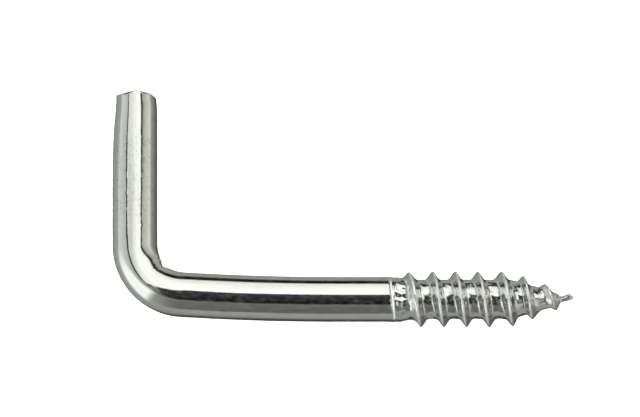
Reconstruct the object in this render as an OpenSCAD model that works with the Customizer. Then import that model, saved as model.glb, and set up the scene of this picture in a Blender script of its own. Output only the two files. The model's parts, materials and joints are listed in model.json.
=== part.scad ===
// Screw hook: one length of round steel wire, cropped, bent square and rolled to a wood-screw thread.
//
// The hook lies flat. The screw's axis is +X, towards the point, the arm runs along +Y, and +Z is up.
// The origin is on the screw's axis, where the shank ends and the thread starts.

/* [Hook] */
// Overall length, from the arm's outer side to the point
hook_length = 50; // [44:0.5:70]
// Height of the arm's end above the screw's axis
arm_height = 22.7; // [18:0.1:40]
// Wire diameter
wire_d = 4.9; // [4:0.1:6]

/* [Bend] */
// Radius of the square bend, at the middle of the wire
bend_r = 5.4; // [4.6:0.1:8]
// Angle that the shank still turns through after the bend
bow_angle = 3.5; // [1:0.1:4]
// Radius of that long, slight bow in the shank
bow_r = 275; // [150:5:300]
// How much thinner bending leaves the wire, on its radius
bend_thinning = 0.01; // [0.005:0.005:0.05]
// Depth of the crease that bending left in the inner side
crease_depth = 0.4; // [0.1:0.05:0.6]
// Width of the crease across its mouth
crease_w = 2; // [0.8:0.1:2.4]

/* [Arm end] */
// Rise of the crowned face that cropping left
crown_h = 0.6; // [0.3:0.1:1.2]

/* [Thread] */
// Length of the thread, with its point
thread_length = 19.85; // [14:0.05:26]
// Distance from one turn to the next
thread_pitch = 2.45; // [1.8:0.05:3]
// Diameter over the crests
crest_d = 6.1; // [5:0.1:7.4]
// Diameter of the core between the crests
core_d = 4.2; // [3.4:0.1:4.4]
// Width of the ridge at its foot
ridge_w = 1.6; // [1:0.05:1.7]
// Width of the worn land along the crest
land_w = 0.2; // [0.1:0.05:0.4]
// Length over which the core tapers to the point
point_length = 6.85; // [4:0.05:10]

/* [Hidden] */

wire_facets = 64;     // facets round the wire
bend_facets = 360;    // facets in a full circle of the bend
bow_facets = 2880;    // facets in a full circle of the bow
bend_lap = 0.15;      // how far the unbent wire reaches over the thinner bend at each end
tiny = 0.02;          // keeps the thread's first ring just clear of the shank's end face

wire_r = wire_d / 2;
core_r = core_d / 2;
crest_r = crest_d / 2;

// The middle line of the wire: the arm, the bend, the bow and then the straight shank on the X axis
arm_x = thread_length - hook_length + wire_r;
bend_x = arm_x + bend_r;
bend_y = bow_r * (1 - cos(bow_angle)) + bend_r * cos(bow_angle);
bow_x = bend_x + (bow_r - bend_r) * sin(bow_angle);

// The crown is a cap of a sphere, drawn with a stub of this height that lies inside the arm
crown_r = (wire_r * wire_r + crown_h * crown_h) / (2 * crown_h);
crown_stub = 0.5;

// The crease lies halfway round the bend, and its mouth's two edges are on the wire's inner side
crease_angle = 225 - bow_angle / 2;
bent_wire_r = wire_r - bend_thinning;
inner_r = bend_r - bent_wire_r;
crease_mouth_x = sqrt(inner_r * inner_r - crease_w * crease_w / 4);
crease_reach = 1.3;   // how far its cut runs past the mouth, as a share of its flank

// Rolling raises the ridge and sinks the core gradually, over these lengths
ridge_run_in = 2.3;
core_run_in = 1.4;
// The core and the ridge die out towards the point by these powers of the distance left
core_power = 0.85;
ridge_power = 0.5;
// Where the ridge's middle crosses the arm's side of the screw
ridge_x = -0.3;
// The thread's own solid starts with a plain stub inside the shank
stub_depth = 0.5;
stub_r = 0.9 * min(core_r, wire_r);

thread_sides = 40;    // columns of points round the thread
// Rows of points in one turn, as distances from the ridge's middle
row_offsets = [-thread_pitch / 2, -ridge_w / 2, -land_w / 2, land_w / 2, ridge_w / 2];
turn_rows = len(row_offsets);
first_turn = floor(-ridge_x / thread_pitch) - 2;
turns = ceil((thread_length - ridge_x) / thread_pitch) - first_turn + 2;
rows = turns * turn_rows;

// Share of the taper that is left at x, from 1 at its start to 0 at the point
function left(x) = max(0, min(1, (thread_length - x) / point_length));
// Radius of the core at x
function core(x) = (core_r + (wire_r - tiny - core_r) * exp(-x / core_run_in)) * pow(left(x), core_power);
// Height of the ridge above the core at x
function ridge(x) = (crest_r - core_r) * (1 - exp(-x / ridge_run_in)) * pow(left(x), ridge_power);
// Distance along the screw from the middle of the nearest turn, at angle a
function off_ridge(x, a) =
    let (turn = (x - ridge_x) / thread_pitch - a / 360)
    abs(turn - round(turn)) * thread_pitch;
// Share of the ridge's height at a distance d from its middle
function flank(d) = max(0, min(1, (ridge_w / 2 - d) / (ridge_w / 2 - land_w / 2)));
// Point of the thread's surface at x and angle a
function thread_point(x, a) =
    let (r = core(x) + ridge(x) * flank(off_ridge(x, a)))
    [x, r * cos(a), r * sin(a)];
// Where a row of points crosses a column, kept between the shank's end and the point
function row_x(row, column) =
    let (turn = first_turn + floor(row / turn_rows) + column / thread_sides)
    max(tiny, min(thread_length, ridge_x + turn * thread_pitch + row_offsets[row % turn_rows]));

// The straight arm with its crowned end, turned about its own axis
module arm() {
    translate([arm_x, bend_y - bend_lap, 0])
        rotate([-90, 0, 0])
            rotate_extrude($fn = wire_facets)
                arm_section(arm_height - bend_y + bend_lap);
}

// Half the section of an arm of this length
module arm_section(length) {
    square([wire_r, length - crown_h]);
    intersection() {
        translate([0, length - crown_r])
            circle(r = crown_r, $fn = 4 * wire_facets);
        translate([0, length - crown_h - crown_stub])
            square([wire_r, crown_h + crown_stub]);
    }
}

// The crease across the inner side of the bend
module crease() {
    tip = [inner_r + crease_depth, 0];
    edge = [crease_mouth_x, crease_w / 2];
    end = tip + crease_reach * (edge - tip);
    rotate([0, 0, crease_angle])
        linear_extrude(height = wire_d, center = true)
            polygon([tip, end, [end[0], -end[1]]]);
}

// The square bend
module bend() {
    translate([bend_x, bend_y, 0])
        difference() {
            rotate([0, 0, 180])
                rotate_extrude(angle = 90 - bow_angle, $fn = bend_facets)
                    translate([bend_r, 0])
                        circle(r = bent_wire_r, $fn = wire_facets);
            crease();
        }
}

// The slight bow of the shank after the bend
module bow() {
    lap_angle = atan(bend_lap / bow_r);
    translate([bow_x, bow_r, 0])
        rotate([0, 0, 270])
            rotate_extrude(angle = -bow_angle - lap_angle, $fn = bow_facets)
                translate([bow_r, 0])
                    circle(r = wire_r, $fn = wire_facets);
}

// The straight shank, up to the thread
module shank() {
    translate([bow_x, 0, 0])
        rotate([0, 90, 0])
            cylinder(h = -bow_x, r = wire_r, $fn = wire_facets);
}

// The rolled thread: one right-hand ridge on a core that tapers to the point
module thread() {
    ring = [
        for (column = [0:thread_sides - 1])
            let (a = 360 * column / thread_sides)
            [-stub_depth, stub_r * cos(a), stub_r * sin(a)]
    ];
    surface = [
        for (row = [0:rows - 1], column = [0:thread_sides - 1])
            thread_point(row_x(row, column), 360 * column / thread_sides)
    ];
    points = concat(ring, surface);
    end_face = [for (column = [0:thread_sides - 1]) column];
    collar = [
        for (column = [0:thread_sides - 1])
            let (next = (column + 1) % thread_sides)
            each [
                [column, thread_sides + column, thread_sides + next],
                [column, thread_sides + next, next]
            ]
    ];
    // Past the last column a row carries on as the first column of the row one turn on
    quads = [
        for (row = [0:rows - turn_rows - 2], column = [0:thread_sides - 1])
            let (
                here = thread_sides * (row + 1) + column,
                beside = column < thread_sides - 1 ? here + 1 : here + 1 + thread_sides * (turn_rows - 1)
            )
            each [
                [here, here + thread_sides, beside + thread_sides],
                [here, beside + thread_sides, beside]
            ]
    ];
    faces = [
        for (f = concat(collar, quads))
            if (points[f[0]] != points[f[1]] && points[f[1]] != points[f[2]] && points[f[2]] != points[f[0]]) f
    ];
    polyhedron(points = points, faces = concat([end_face], faces));
}

module screw_hook() {
    color("silver")
        union() {
            arm();
            bend();
            bow();
            shank();
            thread();
        }
}

screw_hook();
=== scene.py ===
import json
import math

import bpy
import numpy as np
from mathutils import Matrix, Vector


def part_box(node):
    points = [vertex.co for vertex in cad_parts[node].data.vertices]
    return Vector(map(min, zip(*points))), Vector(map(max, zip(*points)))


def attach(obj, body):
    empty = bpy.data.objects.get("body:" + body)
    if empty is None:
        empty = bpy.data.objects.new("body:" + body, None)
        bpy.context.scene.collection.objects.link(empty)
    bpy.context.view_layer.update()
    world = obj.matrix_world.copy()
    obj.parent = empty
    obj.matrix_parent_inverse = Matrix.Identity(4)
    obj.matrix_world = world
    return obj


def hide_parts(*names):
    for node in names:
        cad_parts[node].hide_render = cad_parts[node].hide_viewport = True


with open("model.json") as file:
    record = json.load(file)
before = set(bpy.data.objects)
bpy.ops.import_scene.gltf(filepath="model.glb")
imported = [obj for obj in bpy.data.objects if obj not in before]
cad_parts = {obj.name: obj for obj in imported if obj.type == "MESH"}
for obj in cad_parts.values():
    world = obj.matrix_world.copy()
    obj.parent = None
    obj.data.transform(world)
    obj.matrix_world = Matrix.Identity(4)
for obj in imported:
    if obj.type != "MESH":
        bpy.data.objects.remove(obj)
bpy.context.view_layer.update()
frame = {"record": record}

# The looks of a screw hook: one bent, thread-rolled and zinc-plated steel wire, lying on its side.
# The hook is one swept mesh. Its stations run along the wire from the arm's cropped end to the point,
# and each station is a ring of points whose radius is worked out from the features at that place.
# Lengths are in millimetres until the mesh is made, and metres after that.

MM = 0.001
NODE = "screw_hook"


def mount(name):
    """The record's mount of this name."""
    return next(m for m in frame["record"]["mounts"] if m["name"] == name)


# ---- Sizes from the frame ----
low, high = (np.array(corner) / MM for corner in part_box(NODE))
WIRE_R = mount("hook_arm")["dims"]["r_mm"]
ARM_X = mount("hook_arm")["pos_m"][0] / MM
ARM_END = high[1]
POINT_X = high[0]
CREST_GAP = 0.01                  # keeps the visual thread just inside the CAD's
CREST_R = high[2] - CREST_GAP

# ---- The wire's middle line ----
BEND_R = 5.4
BOW_ANGLE = math.radians(3.5)
BOW_R = 275.0
BEND_ANGLE = math.pi / 2 - BOW_ANGLE
BEND_X = ARM_X + BEND_R
BEND_Y = BOW_R * (1 - math.cos(BOW_ANGLE)) + BEND_R * math.cos(BOW_ANGLE)
BOW_X = BEND_X + (BOW_R - BEND_R) * math.sin(BOW_ANGLE)

# ---- The thread, with the CAD source's own rules ----
PITCH = 2.45
CORE_R = 2.1
RIDGE_X = -0.3                    # where the ridge's middle crosses the arm's side of the screw
POINT_LENGTH = 6.85
CORE_POWER = 0.85
RIDGE_POWER = 0.5
RUN_IN = 2.0                      # how far the rolls took to reach the full depth
RIDGE_START = (0.5, 2.6)          # where the ridge starts to rise, and where it is at its full height
BACK_FLANK = 0.67                 # half the ridge's width towards the shank
FRONT_FLANK = 0.58                # and towards the point, where the flank is steeper
CREST_ROUND = 0.18
FOOT_ROUND = 0.24
CREST_HIGHLIGHT_AND_WEAR = 0.3                  # share of wear and painted highlight on the ridge's crest, where the shoulder's lip is 1
SHOULDER_SLANT = 0.1              # how far the thread's shoulder leans along the screw
LIP_HEIGHT = 0.045                # of the lip where the rolls began to bite
LIP_STEP = 0.05                   # drop from there into the first valley
# The little tail that parting left at the point
TAIL_R = 0.36
TAIL_MIDDLE = 0.84                # distance of its middle from its end
TAIL_HALF = 0.845
TAIL_SHIFT = 0.2                  # how far it stands off the screw's axis
BURR_HEIGHT = 0.19
# Unevenness that the rolls left: of the first valley, of the run-in, of the valleys and of it all
FIRST_VALLEY_ROUGH = 0.045
RUN_IN_ROUGH = 0.02
VALLEY_ROUGH = 0.016
THREAD_ROUGH = 0.008
# Where along the screw the rolled ridge strays from an even pitch: place, reach and stray
STRAYS = [(1.5, 1.2, -0.2), (13.0, 1.5, 0.15), (15.4, 0.8, -0.15)]

# ---- Marks of bending and handling ----
CREASE_TURN = math.radians(43.5)  # how far round the bend the pressed crease lies
CREASE_R = 3.42                   # its tip's distance from the bend's centre
PLATE_GAP = 0.012                 # keeps the plain wire just inside the CAD's
# Cropping squeezed the arm: depth and reach from its end, on its outer side and its inner side
SQUEEZE_NEAR = (0.28, 2.8)
SQUEEZE_FAR = (0.12, 10.5)
SQUEEZE_INNER = (0.1, 0.9)
# Nicks on the arm: distance from the end, angle round the wire in degrees, reach and depth
NICKS = [
    (8.2, 98, 0.28, 0.028),
    (8.6, 93, 0.16, 0.02),
    (10.2, 106, 0.2, 0.02),
    (13.5, 73, 0.18, 0.012),
    (6.1, 84, 0.14, 0.012),
]
# Long, shallow rub marks on the shank, with the same numbers, and how wide they are
RUBS = [(28.1, 124, 1.5, 0.012), (27.4, 131, 0.9, 0.008)]
RUB_WIDTH = 0.15

# ---- The arm's cropped end, a low roof ----
ARM_RING_GAP = 1.0                # distance of the arm's first ring from its end
END_GAP = 0.03                    # keeps the end just inside the CAD's
ROOF_X = 0.2                      # place of its ridge, from the arm's middle
ROOF_SLOPE = 0.29
ROOF_ROUND = 0.35
CORNER_X = 1.45                   # where the right corner starts to round off
CORNER_ROUND = 0.5
FRONT_DROP = 0.06                 # how much lower the front edge is, so that the face shows from above
SLIVER_DROP = 0.2                 # and how much more at its widest
SLIVER_X = -0.75
SLIVER_REACH = 0.5
CAP_EDGE = 0.05                   # bevel round the face

# ---- How finely the mesh is drawn ----
COLUMNS = 124
ARM_STEP = 0.12
BEND_STEP = 0.07
SHANK_STEP = 0.3
THREAD_STEP = 0.049


# ---------------------------------------------------------------- small helpers
def smooth_step(low_edge, high_edge, x):
    """0 below one edge, 1 above the other, and smooth between."""
    t = np.clip((x - low_edge) / (high_edge - low_edge), 0, 1)
    return t * t * (3 - 2 * t)


def smooth_max(a, b, blend):
    """The larger of two values, rounded over where they are equal."""
    return 0.5 * (a + b + np.sqrt((a - b) ** 2 + blend * blend))


def waves(place, pace, seed, count=16):
    """A smooth random field of about unit size in space: a sum of plane waves drawn from a seed."""
    rng = np.random.default_rng(seed)
    total = 0.0
    for i in range(count):
        direction = rng.normal(size=3)
        direction *= pace * (0.6 + 1.8 * i / count) / np.linalg.norm(direction)
        total = total + np.sin(place @ direction + rng.uniform(0, 2 * math.pi))
    return total / math.sqrt(count / 2)


def on_wire(along, psi):
    """Points of a plain straight wire, for fields that must join up all the way round."""
    return np.stack([np.full_like(psi, along), WIRE_R * np.cos(psi), WIRE_R * np.sin(psi)], axis=1)


def around(psi, centre, half_width):
    """1 at one angle round the wire, falling smoothly to 0 at half_width either side, in degrees."""
    off = np.abs((np.degrees(psi) - centre + 180) % 360 - 180)
    return 1 - smooth_step(0, half_width, off)


# ---------------------------------------------------------------- the wire's stations
def stations():
    """Distance along the wire, middle point and direction of each ring, from the arm's end to the point."""
    arm_y = np.arange(ARM_END - ARM_RING_GAP, BEND_Y, -ARM_STEP)
    bend_a = np.linspace(0, BEND_ANGLE, int(BEND_ANGLE * BEND_R / BEND_STEP))
    bow_a = np.linspace(0, BOW_ANGLE, int(BOW_ANGLE * BOW_R / SHANK_STEP))[1:]
    shank_x = np.arange(BOW_X, -0.6, SHANK_STEP)[1:]
    thread_x = np.arange(-0.6, POINT_X, THREAD_STEP)
    points, turns = [], []
    for y in arm_y:
        points.append((ARM_X, y))
        turns.append(0.0)
    for a in bend_a:
        points.append((BEND_X - BEND_R * math.cos(a), BEND_Y - BEND_R * math.sin(a)))
        turns.append(a)
    for a in bow_a:
        turn = BEND_ANGLE + a
        points.append((BOW_X - BOW_R * math.cos(turn), BOW_R - BOW_R * math.sin(turn)))
        turns.append(turn)
    for x in np.concatenate([shank_x, thread_x]):
        points.append((x, 0.0))
        turns.append(math.pi / 2)
    points = np.array(points)
    steps = np.linalg.norm(np.diff(points, axis=0), axis=1)
    along = np.concatenate([[0], np.cumsum(steps)])
    return along, points, np.array(turns)


# ---------------------------------------------------------------- the wire's features
def core(x):
    """Radius of the thread's core at x, down to the blunt little tail that parting left at the point."""
    left = min(1.0, max(0.0, (POINT_X - x) / POINT_LENGTH))
    cone = (CORE_R + (WIRE_R - CORE_R) * math.exp(-(max(x, 0) / RUN_IN) ** 3)) * left ** CORE_POWER
    tail = TAIL_R * math.sqrt(max(0.0, 1 - ((x - POINT_X + TAIL_MIDDLE) / TAIL_HALF) ** 2))
    share = smooth_step(POINT_X - 1.75, POINT_X - 1.15, x)
    return cone * (1 - share) + tail * share


def ridge(x):
    """Height of the thread's ridge above the core at x."""
    left = min(1.0, max(0.0, (POINT_X - x) / POINT_LENGTH))
    fade = 1 - smooth_step(POINT_X - 1.9, POINT_X - 1.2, x)
    return (CREST_R - CORE_R) * smooth_step(*RIDGE_START, x) * left ** RIDGE_POWER * fade


def ridge_shape(x, psi):
    """Share of the ridge's height: steep flanks, a rounded crest and a hollow foot."""
    stray = sum(shift * math.exp(-((x - place) / reach) ** 2) for place, reach, shift in STRAYS)
    turn = (x - RIDGE_X - stray) / PITCH - psi / (2 * math.pi)
    off = (turn - np.round(turn)) * PITCH
    half = np.where(off < 0, BACK_FLANK, FRONT_FLANK)
    slope = 1 - np.sqrt((off / half) ** 2 + CREST_ROUND ** 2)
    top = 0.5 * ((1 - CREST_ROUND) + math.hypot(1 - CREST_ROUND, FOOT_ROUND))
    return 0.5 * (slope + np.sqrt(slope ** 2 + FOOT_ROUND ** 2)) / top


def shoulder_place(x, psi):
    """Distance past the slanted line where the rolls began to bite."""
    return x + SHOULDER_SLANT * WIRE_R * np.cos(psi)


def crest_highlight_and_wear(x, psi):
    """How worn a point is and how much painted highlight it gets, from 0 to 1: the ridge's crest and the
    shoulder's lip rub on everything, and are whitened as a painted highlight.
    """
    whole = smooth_step(0.5, 1.5, x) * (1 - smooth_step(17.0, 18.0, x))
    crest = smooth_step(0.8, 0.97, ridge_shape(x, psi)) * whole
    lip = np.exp(-((shoulder_place(x, psi) - 0.2) / 0.085) ** 2)
    lip = lip * smooth_step(0.35, 0.75, np.abs(np.sin(psi)))
    return np.maximum(CREST_HIGHLIGHT_AND_WEAR * crest, lip)


def thread_radius(x, psi):
    """Radius of the rolled thread, from its shoulder to its point."""
    shape = ridge_shape(x, psi)
    radius = core(x) + ridge(x) * shape
    place = on_wire(x, psi)
    # The rolls left the first valley rough, and the others a little uneven
    first = smooth_step(0.2, 0.6, x) * (1 - smooth_step(1.5, 2.9, x)) * around(psi, 70, 130)
    radius += FIRST_VALLEY_ROUGH * first * waves(place, 3.6, seed=3)
    run_in = smooth_step(1.2, 2.0, x) * (1 - smooth_step(2.6, 4.2, x))
    radius += RUN_IN_ROUGH * run_in * waves(place, 4.4, seed=4)
    valley = np.clip(1 - 1.6 * shape, 0, 1) * smooth_step(0.4, 1.2, x) * (1 - smooth_step(17.5, 18.6, x))
    radius += VALLEY_ROUGH * valley * waves(place, 4.2, seed=5)
    radius += THREAD_ROUGH * smooth_step(1.0, 3.0, x) * waves(place, 2.2, seed=6)
    # A slanted shoulder where the rolls began to bite
    edge = shoulder_place(x, psi)
    shoulder = LIP_HEIGHT * np.exp(-((edge - 0.13) / 0.12) ** 2) - LIP_STEP * smooth_step(0.15, 0.5, edge)
    radius += shoulder * (1 - smooth_step(0.8, 2.4, x))
    # The burr beside the point
    burr = math.exp(-((x - (POINT_X - 0.5)) / 0.2) ** 2) * around(psi, 20, 80)
    return np.minimum(radius + BURR_HEIGHT * burr, CREST_R)


def plain_radius(along, psi, arm_length):
    """Radius of the plain wire. Cropping squeezed the arm's outer side near its end."""
    place = on_wire(along, psi)
    squeeze = SQUEEZE_NEAR[0] * math.exp(-(along / SQUEEZE_NEAR[1]) ** 2)
    squeeze += SQUEEZE_FAR[0] * (1 - smooth_step(0, SQUEEZE_FAR[1], along))
    squeezed = squeeze * np.clip(-np.cos(psi), 0, 1) ** 1.6
    inner = SQUEEZE_INNER[0] * math.exp(-(along / SQUEEZE_INNER[1]) ** 2)
    squeezed += inner * np.clip(np.cos(psi), 0, 1) ** 2
    uneven = 0.003 * waves(place * [0.35, 1, 1], 1.3, seed=8)
    uneven += 0.0003 * waves(place * [0.6, 1, 1], 5.0, seed=7)
    handled = smooth_step(4.0, 6.0, along) * (1 - smooth_step(arm_length - 4, arm_length, along))
    uneven += 0.0008 * handled * waves(place * [0.6, 1, 1], 3.4, seed=9)
    radius = WIRE_R - PLATE_GAP - squeezed - uneven
    for nick_along, nick_psi, reach, depth in NICKS:
        across = (np.abs((np.degrees(psi) - nick_psi + 180) % 360 - 180)) * math.radians(1) * WIRE_R
        off = np.hypot((along - nick_along) / reach, across / (reach * 1.3))
        radius -= depth * np.exp(-off ** 2)
    for rub_along, rub_psi, reach, depth in RUBS:
        across = np.radians((np.degrees(psi) - rub_psi + 180) % 360 - 180) * WIRE_R
        radius -= depth * np.exp(-((along - rub_along) / reach) ** 4 - (across / RUB_WIDTH) ** 2)
    return radius


def creased(turn, psi, radius):
    """Distance from the bend's centre, its inner side pressed to a crease. turn is the bend's angle."""
    inner_r = BEND_R - WIRE_R
    spread = math.acos(inner_r / CREASE_R)
    beta = abs(turn - CREASE_TURN)
    reach = BEND_R - radius * np.cos(psi)
    if beta > spread:
        return reach
    tight = inner_r / math.cos(spread - beta)
    tuck = 0.07 * math.sin(turn * 40 + 0.6) * math.exp(-((turn - CREASE_TURN + 0.16) / 0.15) ** 2)
    pressed = smooth_max(reach, tight, 0.05) + tuck * around(psi, 10, 55)
    return np.where(np.cos(psi) > 0.2, pressed, reach)


# ---------------------------------------------------------------- the hook's mesh
def hook_rings():
    """Points of every ring, as (rings, columns, 3), each one's place along and round the wire, and wear,
    which also carries a painted highlight.
    """
    along, middle, turn = stations()
    arm_length = ARM_END - BEND_Y
    psi = np.arange(COLUMNS) * 2 * math.pi / COLUMNS
    rows, places, wear = [], [], []
    for s, (x, y), t in zip(along, middle, turn):
        worn = np.zeros(COLUMNS)
        inward = np.array([math.cos(t), math.sin(t), 0.0])
        radius = plain_radius(s, psi, arm_length)
        if t == math.pi / 2 and x > -0.35:
            share = smooth_step(-0.35, 0.0, x)
            radius = radius * (1 - share) + thread_radius(x, psi) * share
            worn = crest_highlight_and_wear(x, psi)
        offset = radius * np.cos(psi)
        if 0 < t < BEND_ANGLE:
            offset = BEND_R - creased(t, psi, radius)
        ring = np.array([x, y, 0.0]) + offset[:, None] * inward
        ring[:, 2] += radius * np.sin(psi)
        ring[:, 1] += TAIL_SHIFT * smooth_step(POINT_X - 1.5, POINT_X - 0.5, x) * (x > 0)
        rows.append(ring)
        places.append(s)
        wear.append(worn)
    return np.array(rows), np.array(places), psi, np.array(wear)


def end_height(x, z):
    """Height of the arm's cropped end: a low roof whose right corner is rounded off."""
    drop = ROOF_SLOPE * (np.sqrt((x - ROOF_X) ** 2 + ROOF_ROUND ** 2) - ROOF_ROUND)
    corner = CORNER_ROUND * np.maximum(0, x - CORNER_X) ** 2
    sliver = SLIVER_DROP * np.exp(-((x - SLIVER_X) / SLIVER_REACH) ** 2)
    front = (sliver + FRONT_DROP) * smooth_step(0.2, 2.2, z)
    return ARM_END - END_GAP - drop - corner - front


def arm_cap(first_ring):
    """Rings that close the arm: the last of its side, a crisp edge and the cropped face."""
    flat = first_ring - [ARM_X, 0, 0]
    rings = []
    for lift in (0.25, 0.5, 0.75, 0.93):
        ring = first_ring.copy()
        ring[:, 1] += lift * (end_height(flat[:, 0], flat[:, 2]) - first_ring[:, 1])
        rings.append(ring)
    for share in (0.995, 0.98, 0.95, 0.88, 0.78, 0.66, 0.52, 0.38, 0.24, 0.1, 0.02):
        x, z = share * flat[:, 0], share * flat[:, 2]
        edge = CAP_EDGE * smooth_step(0.94, 1.0, share)
        rings.append(np.stack([ARM_X + x, end_height(x, z) - edge, z], axis=1))
    return rings[::-1]


def build_hook():
    """The whole hook as one closed mesh, with each point's place on the wire as an attribute."""
    rings, along, psi, wear = hook_rings()
    cap = arm_cap(rings[0])
    rings = np.concatenate([np.array(cap), rings])
    along = np.concatenate([np.linspace(-2.4, -0.1, len(cap)), along])
    count = len(rings)
    points = rings.reshape(-1, 3)
    tip = np.array([[POINT_X - 0.005, TAIL_SHIFT, 0.0]])
    crown = np.array([rings[0].mean(axis=0)])
    points = np.concatenate([points, tip, crown]) * MM
    faces = []
    for row in range(count - 1):
        a = row * COLUMNS
        for column in range(COLUMNS):
            b = (column + 1) % COLUMNS
            faces.append((a + column, a + b, a + COLUMNS + b, a + COLUMNS + column))
    last = (count - 1) * COLUMNS
    for column in range(COLUMNS):
        b = (column + 1) % COLUMNS
        faces.append((last + column, last + b, count * COLUMNS))
        faces.append((b, column, count * COLUMNS + 1))
    mesh = bpy.data.meshes.new("hook_wire")
    mesh.from_pydata(points.tolist(), [], faces)
    mesh.update()
    mesh.shade_smooth()
    place = np.empty((count, COLUMNS, 3))
    place[:, :, 0] = along[:, None]
    place[:, :, 1] = WIRE_R * np.cos(psi)
    place[:, :, 2] = WIRE_R * np.sin(psi)
    ends = [[along[-1], 0, 0], [along[0], 0, 0]]
    place = np.concatenate([place.reshape(-1, 3), ends])
    attribute = mesh.attributes.new("wire_place", "FLOAT_VECTOR", "POINT")
    attribute.data.foreach_set("vector", place.astype(np.float32).ravel())
    # Wear and painted highlight of the crest and the lip, one value for each point
    wear = np.concatenate([np.zeros(len(cap) * COLUMNS), wear.ravel(), [0, 0]])
    attribute = mesh.attributes.new("crest_highlight_and_wear", "FLOAT", "POINT")
    attribute.data.foreach_set("value", wear.astype(np.float32))
    hook = bpy.data.objects.new("hook_wire", mesh)
    bpy.context.collection.objects.link(hook)
    return hook


# ---------------------------------------------------------------- the zinc plate
class Nodes:
    """Short calls for the nodes of one material."""

    def __init__(self, material):
        material.use_nodes = True
        self.tree = material.node_tree
        self.shader = next(n for n in self.tree.nodes if n.type == "BSDF_PRINCIPLED")

    def link(self, source, target):
        self.tree.links.new(source, target)

    def add(self, kind, **values):
        node = self.tree.nodes.new(kind)
        for name, value in values.items():
            setattr(node, name, value)
        return node

    def noise(self, vector, scale, detail=3.0, stretch=(1, 1, 1)):
        """A noise pattern in millimetres along and round the wire."""
        mapping = self.add("ShaderNodeMapping")
        mapping.inputs["Scale"].default_value = stretch
        self.link(vector, mapping.inputs["Vector"])
        noise = self.add("ShaderNodeTexNoise")
        noise.inputs["Scale"].default_value = scale
        noise.inputs["Detail"].default_value = detail
        self.link(mapping.outputs["Vector"], noise.inputs["Vector"])
        return noise.outputs["Fac"]

    def remap(self, value, from_low, from_high, to_low, to_high):
        node = self.add("ShaderNodeMapRange")
        node.inputs["From Min"].default_value = from_low
        node.inputs["From Max"].default_value = from_high
        node.inputs["To Min"].default_value = to_low
        node.inputs["To Max"].default_value = to_high
        self.link(value, node.inputs["Value"])
        return node.outputs["Result"]

    def math(self, operation, a, b):
        node = self.add("ShaderNodeMath", operation=operation)
        for value, socket in ((a, node.inputs[0]), (b, node.inputs[1])):
            if isinstance(value, (int, float)):
                socket.default_value = value
            else:
                self.link(value, socket)
        return node.outputs["Value"]

    def mix(self, share, a, b):
        node = self.add("ShaderNodeMix", data_type="RGBA")
        self.link(share, node.inputs["Factor"])
        for value, socket in ((a, node.inputs["A"]), (b, node.inputs["B"])):
            if isinstance(value, tuple):
                socket.default_value = (*value, 1)
            else:
                self.link(value, socket)
        return node.outputs["Result"]

    def bump(self, height, strength, distance, under=None):
        node = self.add("ShaderNodeBump")
        node.inputs["Strength"].default_value = strength
        node.inputs["Distance"].default_value = distance
        self.link(height, node.inputs["Height"])
        if under is not None:
            self.link(under, node.inputs["Normal"])
        return node.outputs["Normal"]


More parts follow.
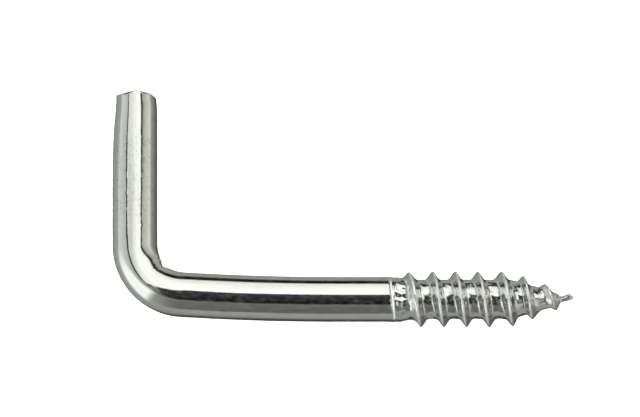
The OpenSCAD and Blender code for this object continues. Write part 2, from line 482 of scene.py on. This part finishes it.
def zinc_plate():
    """Bright zinc: a slightly green-grey metal with drawing lines, haze, scuffs, and worn edges whitened into
    a painted highlight.
    """
    material = bpy.data.materials.new("bright_zinc")
    n = Nodes(material)
    place = n.add("ShaderNodeAttribute", attribute_name="wire_place").outputs["Vector"]
    along = n.add("ShaderNodeSeparateXYZ")
    n.link(place, along.inputs["Vector"])
    along = along.outputs["X"]
    arm_and_bend = (ARM_END - ARM_RING_GAP - BEND_Y) + BEND_R * BEND_ANGLE
    thread_start = arm_and_bend + BOW_R * BOW_ANGLE - BOW_X
    in_thread = n.remap(along, thread_start - 0.1, thread_start + 0.4, 0, 1)
    on_arm = n.remap(along, 2.0, 5.0, 0, 1)
    on_arm = n.math("MULTIPLY", on_arm, n.remap(along, 12.0, 16.0, 1, 0))

    drawn = n.noise(place, 1.0, 4.0, (0.08, 3.2, 3.2))
    mottle = n.noise(place, 1.3, 6.0, (0.6, 1.0, 1.0))
    grain = n.noise(place, 6.0, 4.0, (0.6, 1.0, 1.0))
    scuff = n.remap(n.noise(place, 3.2, 6.0, (0.45, 1.0, 1.0)), 0.52, 0.66, 0, 1)
    scuff = n.math("MULTIPLY", scuff, on_arm)

    bright, dull, stain = (0.82, 0.83, 0.79), (0.70, 0.72, 0.69), (0.42, 0.43, 0.38)
    fresh = (0.78, 0.79, 0.79)
    streaks = n.math("ADD", n.remap(drawn, 0.42, 0.62, 0, 0.7), n.remap(mottle, 0.45, 0.7, 0, 0.3))
    colour = n.mix(streaks, bright, dull)
    colour = n.mix(n.math("MULTIPLY", in_thread, 0.7), colour, fresh)
    specks = n.remap(n.noise(place, 2.6, 5.0), 0.60, 0.70, 0, 0.5)
    colour = n.mix(n.math("MULTIPLY", specks, in_thread), colour, stain)
    flecks = n.remap(n.noise(place, 4.5, 3.0, (0.7, 1.0, 1.0)), 0.58, 0.68, 0, 0.6)
    colour = n.mix(n.math("MULTIPLY", flecks, on_arm), colour, stain)
    colour = n.mix(n.math("MULTIPLY", scuff, 0.2), colour, stain)
    # Painted highlight: worn crests and the lip are whitened and made less metallic, so that they show as
    # bright lines
    edge = n.add("ShaderNodeAttribute", attribute_name="crest_highlight_and_wear").outputs["Fac"]
    edge = n.math("MULTIPLY", edge, n.remap(grain, 0.3, 0.6, 0.6, 1.0))
    colour = n.mix(edge, colour, (0.96, 0.96, 0.95))
    n.link(colour, n.shader.inputs["Base Color"])
    haze = n.remap(n.noise(place, 2.4, 5.0, (0.5, 1.0, 1.0)), 0.42, 0.68, 0, 0.016)
    matt = n.math("ADD", haze, n.math("MULTIPLY", edge, 0.34))
    n.link(n.math("SUBTRACT", 1.0, matt), n.shader.inputs["Metallic"])

    rough = n.remap(mottle, 0.3, 0.75, 0.05, 0.09)
    rough = n.math("ADD", rough, n.remap(drawn, 0.35, 0.7, 0.0, 0.03))
    rough = n.math("ADD", rough, n.math("MULTIPLY", scuff, 0.05))
    rough = n.math("ADD", rough, n.math("MULTIPLY", in_thread, 0.06))
    rough = n.math("ADD", rough, n.math("MULTIPLY", edge, 0.15))
    n.link(rough, n.shader.inputs["Roughness"])

    lines = n.bump(drawn, 0.2, 0.00001)
    wear = n.math("ADD", 0.2, n.math("ADD", n.math("MULTIPLY", scuff, 0.5), in_thread))
    worn = n.bump(n.math("MULTIPLY", grain, wear), 0.4, 0.00002, lines)
    n.link(worn, n.shader.inputs["Normal"])
    return material


# ---------------------------------------------------------------- camera, floor and light
VIEW_FILL = 0.7207                 # share of the picture's width that the hook takes
VIEW_SHIFT = (-2.49, 0.02)         # the picture's middle, from the middle of the hook's box
CAMERA_HEIGHT = 420.0
SENSOR = 36.0
FLOOR_HALF = 2.0                   # half the floor's side, in metres
FLOOR_GAP = 0.03
REST_X = 2.6                       # the first turn of full height carries the screw


def make_camera():
    """A camera straight above the hook, the screw's point to the right and the arm to the top."""
    data = bpy.data.cameras.new("camera")
    camera = bpy.data.objects.new("camera", data)
    bpy.context.collection.objects.link(camera)
    width = (high[0] - low[0]) / VIEW_FILL
    middle = (low + high) / 2
    data.sensor_width = SENSOR
    data.lens = data.sensor_width * CAMERA_HEIGHT / width
    data.clip_start, data.clip_end = 0.01, 10.0
    x, y = middle[0] + VIEW_SHIFT[0], middle[1] + VIEW_SHIFT[1]
    camera.location = (x * MM, y * MM, CAMERA_HEIGHT * MM)
    bpy.context.scene.camera = camera
    return camera


def hide_from(item, camera=False, diffuse=False, glossy=False, shadow=False):
    """Takes an object out of some kinds of light ray."""
    item.visible_camera = not camera
    item.visible_diffuse = not diffuse
    item.visible_glossy = not glossy
    item.visible_shadow = not shadow


def make_floor():
    """A plain white floor under the hook. It tilts by the small angle at which the hook lies on it."""
    corners = [(x * FLOOR_HALF, y * FLOOR_HALF, 0) for x, y in ((-1, -1), (1, -1), (1, 1), (-1, 1))]
    mesh = bpy.data.meshes.new("floor")
    mesh.from_pydata(corners, [], [(0, 1, 2, 3)])
    floor = bpy.data.objects.new("floor", mesh)
    bpy.context.collection.objects.link(floor)
    lean = math.atan2(CREST_R - WIRE_R, REST_X - ARM_X)
    floor.location = (ARM_X * MM, 0, -(WIRE_R + FLOOR_GAP) * MM)
    floor.rotation_euler = (0, lean, 0)
    material = bpy.data.materials.new("floor_white")
    n = Nodes(material)
    n.shader.inputs["Base Color"].default_value = (0.93, 0.93, 0.93, 1)
    n.shader.inputs["Roughness"].default_value = 1.0
    n.shader.inputs["Specular IOR Level"].default_value = 0.0
    mesh.materials.append(material)
    hide_from(floor, glossy=True)


# What the metal reflects, as bands of brightness by the angle from straight up. One list is for the
# plane across the arm, the other for the plane across the shank, and their bands match one for one.
# Each band is (start angle, end angle, brightness at the start, brightness at the end), and its
# brightness is that of the picture, from 0 for black to 1 for white.
INNER_ACROSS_ARM = [
    (0, 26, 0.98, 0.98),
    (29, 35, 0.14, 0.14),
    (40, 80, 0.66, 0.83),
    (96, 115, 0.55, 0.48),
    (135, 180, 0.36, 0.3),
]
INNER_ACROSS_SHANK = [
    (26, 86, 1.08, 0.88),
    (92, 105, 0.03, 0.03),
    (117, 150, 0.54, 0.54),
    (155, 165, 0.5, 0.5),
    (169, 180, 0.06, 0.04),
]
OUTER_ACROSS_ARM = [
    (0, 18, 0.62, 0.64),
    (18, 36, 0.64, 0.66),
    (40, 86, 0.69, 0.81),
    (97, 150, 0.61, 0.52),
    (160, 180, 0.38, 0.3),
]
OUTER_ACROSS_SHANK = [
    (0, 10, 0.15, 0.15),
    (10, 20, 0.15, 0.15),
    (27, 74, 0.39, 0.35),
    (80, 114, 0.56, 0.55),
    (134, 180, 0.26, 0.2),
]
# Round the inner side of the corner, how far the bands have gone from the arm's to the shank's
INNER_TURNS = (0, 11, 20, 29, 37, 46, 67, 90)
INNER_SHARES = (0, 0.22, 0.5, 0.62, 0.5, 0.6, 0.88, 1)
WINDOW = 0.97                      # the window that shines on the outer side of the corner
OVERHEAD = 0.14                    # the dark strip straight above the shank
OVERHEAD_SLOPE = 0.06              # how much lighter it is on the arm's side, and darker on the other
OVERHEAD_TURNS = (170, 180, 228, 235, 243, 262)    # directions in degrees round the vertical
OVERHEAD_REACH = (25.5, 6, 6, 14, 20, 25)          # and how far from straight up the strip reaches there
NEUTRAL = np.array([0.985, 1.0, 0.95])
WARM = np.array([1.0, 1.0, 0.92])
COOL = np.array([0.96, 1.0, 0.99])
NAVY = np.array([0.88, 0.9, 1.35])
PLATE_SHINE = 0.79                 # the share of light that the zinc gives back
DOME_RADIUS = 3.0                  # in metres


def shown(brightness):
    """Light that gives this brightness in the picture once the zinc has reflected it."""
    return ((brightness + 0.055) / 1.055) ** 2.4 / PLATE_SHINE


def band_light(angle, arm_bands, shank_bands, share):
    """Brightness at an angle from straight up, for a direction that is share of the way from arm to shank."""
    edges, values = [], []
    for arm_band, shank_band in zip(arm_bands, shank_bands):
        start, end, first, last = (a + (b - a) * share for a, b in zip(arm_band, shank_band))
        edges += [start, end]
        values += [first, last]
    return float(np.interp(angle, edges, values))


def corner_window(azimuth, angle):
    """Share of a window that shines on the outer side of the corner. Angles are in degrees."""
    inner = np.interp(azimuth, (183, 195, 212, 228, 236), (66, 59, 40, 27, 24))
    sides = smooth_step(180, 202, azimuth) * (1 - smooth_step(230, 238, azimuth))
    return sides * smooth_step(inner - 4, inner + 12, angle) * (1 - smooth_step(88, 108, angle))


def studio_light(direction):
    """Light that comes from one direction of the studio."""
    x, y, z = direction
    angle = math.degrees(math.acos(max(-1.0, min(1.0, z))))
    flat = math.hypot(x, y) + 1e-9
    arm_bands = INNER_ACROSS_ARM if x > 0 else OUTER_ACROSS_ARM
    shank_bands = INNER_ACROSS_SHANK if y > 0 else OUTER_ACROSS_SHANK
    share = (y / flat) ** 4
    if x > 0 and y > 0:
        share = np.interp(math.degrees(math.atan2(y, x)), INNER_TURNS, INNER_SHARES)
    value = band_light(angle, arm_bands, shank_bands, share)
    window = corner_window(math.degrees(math.atan2(y, x)) % 360, angle)
    value = value * (1 - window) + WINDOW * window
    reach = np.interp(math.degrees(math.atan2(y, x)) % 360, OVERHEAD_TURNS, OVERHEAD_REACH)
    overhead = 1 - smooth_step(reach - 1.5, reach + 1.5, angle)
    strip = OVERHEAD + OVERHEAD_SLOPE * y / flat * smooth_step(2, 16, angle)
    value = value * (1 - overhead) + strip * overhead
    sideways = (x / flat) ** 2 * smooth_step(40, 60, angle)
    cool = sideways if x < 0 else 0.0
    warm = sideways - cool
    tint = NEUTRAL + (COOL - NEUTRAL) * cool + (WARM - NEUTRAL) * warm
    tint = tint + (NAVY - tint) * max(0.0, 1 - value / 0.25)
    return shown(value) * tint


def emission_material(name):
    """A surface that glows with the colour stored at its points."""
    material = bpy.data.materials.new(name)
    material.use_nodes = True
    tree = material.node_tree
    tree.nodes.clear()
    glow = tree.nodes.new("ShaderNodeEmission")
    colour = tree.nodes.new("ShaderNodeAttribute")
    colour.attribute_name = "glow"
    out = tree.nodes.new("ShaderNodeOutputMaterial")
    tree.links.new(colour.outputs["Color"], glow.inputs["Color"])
    tree.links.new(glow.outputs["Emission"], out.inputs["Surface"])
    material.cycles.emission_sampling = "NONE"
    return material


def glowing_mesh(name, points, faces, lights):
    """A stage object whose points glow in these colours, seen only in reflections."""
    mesh = bpy.data.meshes.new(name)
    mesh.from_pydata([tuple(p) for p in points], [], faces)
    mesh.update()
    colours = np.ones((len(points), 4), dtype=np.float32)
    colours[:, :3] = lights
    attribute = mesh.attributes.new("glow", "FLOAT_COLOR", "POINT")
    attribute.data.foreach_set("color", colours.ravel())
    item = bpy.data.objects.new(name, mesh)
    bpy.context.collection.objects.link(item)
    mesh.materials.append(emission_material(name))
    hide_from(item, camera=True, diffuse=True, shadow=True)


def grid_faces(rows, columns):
    """Faces of a sheet of points, row after row."""
    corners = [r * columns + c for r in range(rows - 1) for c in range(columns - 1)]
    return [(k, k + 1, k + columns + 1, k + columns) for k in corners]


def make_dome():
    """The studio as a sphere round the hook, seen only in reflections."""
    rings = sectors = 180
    points, lights = [], []
    for i in range(rings + 1):
        polar = math.pi * i / rings
        for j in range(sectors + 1):
            a = 2 * math.pi * j / sectors
            d = (math.sin(polar) * math.cos(a), math.sin(polar) * math.sin(a), math.cos(polar))
            points.append([DOME_RADIUS * c for c in d])
            lights.append(studio_light(d))
    glowing_mesh("studio_dome", points, grid_faces(rings + 1, sectors + 1), lights)


# A white card low above the arm, with a dark rim. It lights the arm's top, and its lower edge ends
# over the corner. The edge runs down the outer side of the arm and round to its inner side.
CARD_HEIGHT = 10.0
CARD_EDGE = np.array([
    (-36.0, 60.0),
    (-36.0, 10.0),
    (-35.6, 7.4),
    (-34.7, 5.8),
    (-33.0, 2.6),
    (-31.8, 1.0),
    (-29.7, -0.1),
    (-28.4, -0.5),
    (-26.6, 0.3),
    (-25.4, 1.5),
    (-24.2, 2.5),
    (-23.1, 3.6),
    (-22.2, 4.8),
])
RIM_CORNERS = 9                    # the rim follows the edge up to this corner
CARD_RIM = 1.5                     # width of the rim over the arm, narrower over the corner
RIM_LIGHT = 0.1
CARD_GREY = 0.8                    # brightness over the arm's outer side
CARD_WHITE = 0.99                  # and over its inner side
CARD_TOP_Y = 60.0


def card_light(x, y):
    """Light of the card at a point: greyer over the arm's outer side, white over its inner side."""
    rise = smooth_step(ARM_X - 2.5, ARM_X + 2.2, x)
    streak = 0.035 * math.sin(2.1 * x) * math.sin(5.3 * x + 1)
    value = CARD_GREY + (CARD_WHITE - CARD_GREY) * rise
    value += (streak + 0.06 * smooth_step(11, 17, y)) * (1 - rise)
    gap = 99.0
    for (x0, y0), (x1, y1) in zip(CARD_EDGE[:RIM_CORNERS - 1], CARD_EDGE[1:RIM_CORNERS]):
        along_x, along_y = x1 - x0, y1 - y0
        share = ((x - x0) * along_x + (y - y0) * along_y) / (along_x ** 2 + along_y ** 2)
        share = min(1.0, max(0.0, share))
        gap = min(gap, math.hypot(x - x0 - share * along_x, y - y0 - share * along_y))
    width = CARD_RIM * (1 - 0.7 * smooth_step(-31.0, -28.0, x))
    rim = 1 - smooth_step(width - 0.2, width + 0.2, gap)
    return shown(value * (1 - rim) + RIM_LIGHT * rim) * NEUTRAL


def make_arm_card():
    """The card over the arm, as columns of points that are closer together near its lower edge."""
    columns, rows = 110, 30
    points, lights = [], []
    for row in range(rows):
        rise = (row / (rows - 1)) ** 2.5
        for x in np.linspace(CARD_EDGE[0, 0], CARD_EDGE[-1, 0], columns):
            edge = float(np.interp(x, CARD_EDGE[1:, 0], CARD_EDGE[1:, 1]))
            y = edge + (CARD_TOP_Y - edge) * rise
            points.append([x * MM, y * MM, CARD_HEIGHT * MM])
            lights.append(card_light(x, y))
    glowing_mesh("arm_card", points, grid_faces(rows, columns), lights)


# Name, place in metres and power of each lamp
LIGHTS = [("key_light", (-0.3, 0.5, 0.9), 30.0), ("fill_light", (0.5, -0.5, 0.9), 26.0)]
LAMP_SIZE = 0.9


def make_lights():
    """Broad light for the floor. It leaves no highlight on the metal, which mirrors the studio."""
    for name, place, power in LIGHTS:
        data = bpy.data.lights.new(name, "AREA")
        data.size = LAMP_SIZE
        data.energy = power
        light = bpy.data.objects.new(name, data)
        bpy.context.collection.objects.link(light)
        light.location = place
        back = np.array(place) / np.linalg.norm(place)
        light.rotation_euler = (math.acos(back[2]), 0, math.atan2(back[1], back[0]) + math.pi / 2)
        light.visible_glossy = False
    world = bpy.data.worlds.new("studio_world")
    bpy.context.scene.world = world
    world.use_nodes = True
    background = world.node_tree.nodes["Background"]
    background.inputs["Color"].default_value = (1, 1, 1, 1)
    background.inputs["Strength"].default_value = 0.35
    bpy.context.scene.view_settings.view_transform = "Standard"


make_camera()
hook = build_hook()
hook.data.materials.append(zinc_plate())
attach(hook, "root")
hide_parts(NODE)
make_floor()
make_dome()
make_arm_card()
make_lights()
